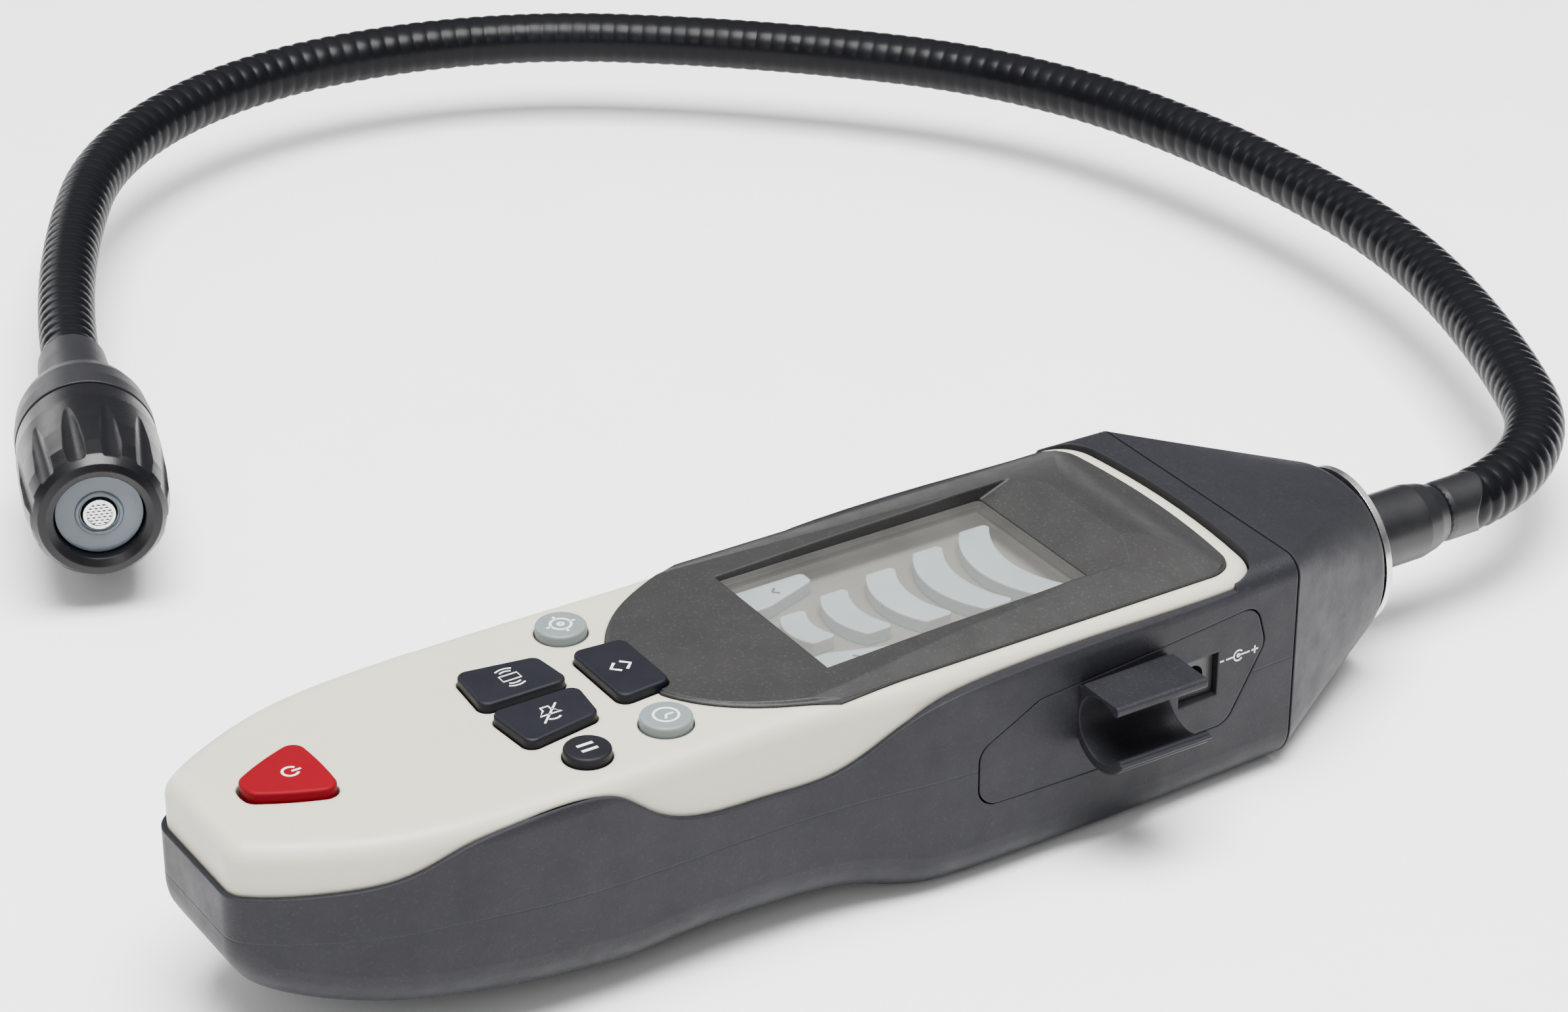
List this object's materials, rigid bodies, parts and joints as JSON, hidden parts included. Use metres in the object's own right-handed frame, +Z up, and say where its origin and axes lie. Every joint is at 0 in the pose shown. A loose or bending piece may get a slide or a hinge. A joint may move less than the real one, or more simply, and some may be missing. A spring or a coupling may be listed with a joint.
{
  "type": "portable gas detector",
  "caption": "Hand-held gas leak detector: a keyed housing with a level display and a stay-put flexible neck that carries a sensor head.",
  "frame": {"origin": "centre of the flat back of the housing, on the surface it rests on", "axes": "+Z up out of the key face, +Y along the housing towards the neck, +X towards the side with the charging socket and clip"},
  "size_m": [0.3366, 0.3146, 0.0439],
  "materials": {
    "shell_plastic": "fine moulded texture, charcoal",
    "cover_plastic": "satin cream",
    "bezel_plastic": "satin metallic grey",
    "window_plastic": "clear glossy",
    "light_guide": "milky translucent",
    "tray_plastic": "plain white",
    "dark_key": "satin blue-black",
    "black_key": "satin black",
    "grey_key": "translucent grey",
    "red_key": "satin crimson",
    "keypad_rubber": "silicone",
    "circuit_board": "solder mask",
    "component_black": "moulded",
    "led": "clear",
    "bright_steel": "nickel plated",
    "cell_can": "plain wrapper",
    "tray_black": "plain",
    "lead_jacket": "plain",
    "neck_sleeve": "satin ribbed sleeve",
    "black_metal": "matte black",
    "head_plastic": "matte black",
    "cap_plastic": "satin black",
    "head_disc": "grey-blue",
    "seal_rubber": "plain"
  },
  "bodies": {
    "housing": {"front_shell": "shell_plastic", "rear_shell": "shell_plastic", "side_panel": "shell_plastic", "end_cap": "shell_plastic", "probe_clip": "shell_plastic", "face_cover": "cover_plastic", "display_bezel": "bezel_plastic", "display_window": "window_plastic", "level_bar_1": "light_guide", "level_bar_2": "light_guide", "level_bar_3": "light_guide", "level_bar_4": "light_guide", "level_bar_5": "light_guide", "low_range_lamp": "light_guide", "high_range_lamp": "light_guide", "light_guide_tray": "tray_plastic", "keypad_mat": "keypad_rubber", "main_board": "circuit_board", "buzzer": "component_black", "controller_chip": "component_black", "charging_socket": "component_black", "indicator_leds": "led", "neck_washer": "bright_steel", "neck_nut": "bright_steel", "housing_screws": "bright_steel", "vibration_motor": "bright_steel", "battery_springs": "bright_steel", "battery_contacts": "bright_steel", "battery_cells": "cell_can", "battery_tray": "tray_black", "sensor_lead": "lead_jacket", "neck_base_ferrule": "black_metal"},
    "battery_door": {"battery_door": "shell_plastic", "door_screw": "bright_steel"},
    "power_key": {"power_key": "red_key"},
    "vibration_key": {"vibration_key": "dark_key"},
    "mute_key": {"mute_key": "dark_key"},
    "hold_key": {"hold_key": "black_key"},
    "range_key": {"range_key": "dark_key"},
    "auto_zero_key": {"auto_zero_key": "grey_key"},
    "auto_off_key": {"auto_off_key": "grey_key"},
    "neck_1": {"neck_link_1": "neck_sleeve"},
    "neck_2": {"neck_link_2": "neck_sleeve"},
    "neck_3": {"neck_link_3": "neck_sleeve"},
    "neck_4": {"neck_link_4": "neck_sleeve"},
    "neck_5": {"neck_link_5": "neck_sleeve"},
    "neck_6": {"neck_link_6": "neck_sleeve"},
    "neck_7": {"neck_link_7": "neck_sleeve"},
    "neck_8": {"neck_link_8": "neck_sleeve"},
    "head": {"neck_link_9": "neck_sleeve", "head_ferrule": "head_plastic", "head_rear_shell": "head_plastic", "sensor_board": "circuit_board", "sensor_can": "bright_steel", "sensor_mesh": "bright_steel", "head_o_ring": "seal_rubber"},
    "head_cap": {"head_cap": "cap_plastic", "head_lens": "head_disc"}
  },
  "joints": [
    {"name": "power_key_press", "type": "slide", "parent": "housing", "child": "power_key", "axis": [0, 0, -1], "range_m": [0, 0.0008], "stiffness_N_per_m": 800},
    {"name": "vibration_key_press", "type": "slide", "parent": "housing", "child": "vibration_key", "axis": [0, 0, -1], "range_m": [0, 0.0008], "stiffness_N_per_m": 800},
    {"name": "mute_key_press", "type": "slide", "parent": "housing", "child": "mute_key", "axis": [0, 0, -1], "range_m": [0, 0.0008], "stiffness_N_per_m": 800},
    {"name": "hold_key_press", "type": "slide", "parent": "housing", "child": "hold_key", "axis": [0, 0, -1], "range_m": [0, 0.0008], "stiffness_N_per_m": 800},
    {"name": "range_key_press", "type": "slide", "parent": "housing", "child": "range_key", "axis": [0, 0, -1], "range_m": [0, 0.0008], "stiffness_N_per_m": 800},
    {"name": "auto_zero_key_press", "type": "slide", "parent": "housing", "child": "auto_zero_key", "axis": [0, 0, -1], "range_m": [0, 0.0008], "stiffness_N_per_m": 800},
    {"name": "auto_off_key_press", "type": "slide", "parent": "housing", "child": "auto_off_key", "axis": [0, 0, -1], "range_m": [0, 0.0008], "stiffness_N_per_m": 800},
    {"name": "battery_door_removal", "type": "slide", "parent": "housing", "child": "battery_door", "axis": [0, 0, -1], "range_m": [0, 0.02]},
    {"name": "neck_bend_1", "type": "hinge", "parent": "housing", "child": "neck_1", "pos_m": [0, 0.093, 0.02], "axis": [0, 0, 1], "range_deg": [-25, 15]},
    {"name": "neck_lift_2", "type": "hinge", "parent": "neck_1", "child": "neck_2", "pos_m": [-0.02498, 0.13337, 0.02], "axis": [-0.4462, -0.8949, 0], "range_deg": [-30, 10]},
    {"name": "neck_bend_3", "type": "hinge", "parent": "neck_2", "child": "neck_3", "pos_m": [-0.06766, 0.1504, 0.02], "axis": [0, 0, 1], "range_deg": [-25, 14]},
    {"name": "neck_lift_4", "type": "hinge", "parent": "neck_3", "child": "neck_4", "pos_m": [-0.11098, 0.15726, 0.02], "axis": [0.0175, 0.9998, 0], "range_deg": [-10, 30]},
    {"name": "neck_bend_5", "type": "hinge", "parent": "neck_4", "child": "neck_5", "pos_m": [-0.1666, 0.15191, 0.02], "axis": [0, 0, 1], "range_deg": [-25, 14]},
    {"name": "neck_lift_6", "type": "hinge", "parent": "neck_5", "child": "neck_6", "pos_m": [-0.22252, 0.12433, 0.02], "axis": [-0.6494, 0.7604, 0], "range_deg": [-10, 30]},
    {"name": "neck_bend_7", "type": "hinge", "parent": "neck_6", "child": "neck_7", "pos_m": [-0.26581, 0.07871, 0.02], "axis": [0, 0, -1], "range_deg": [-25, 25]},
    {"name": "neck_lift_8", "type": "hinge", "parent": "neck_7", "child": "neck_8", "pos_m": [-0.28865, 0.0168, 0.02], "axis": [-0.9986, 0.0523, 0], "range_deg": [-10, 30]},
    {"name": "neck_bend_9", "type": "hinge", "parent": "neck_8", "child": "head", "pos_m": [-0.25115, -0.0568, 0.02], "axis": [0, 0, -1], "range_deg": [-25, 25]},
    {"name": "head_cap_turn", "type": "hinge", "parent": "head", "child": "head_cap", "pos_m": [-0.18404, -0.08989, 0.02], "axis": [0.9426, -0.3338, 0], "range_deg": [0, 360]}
  ]
}
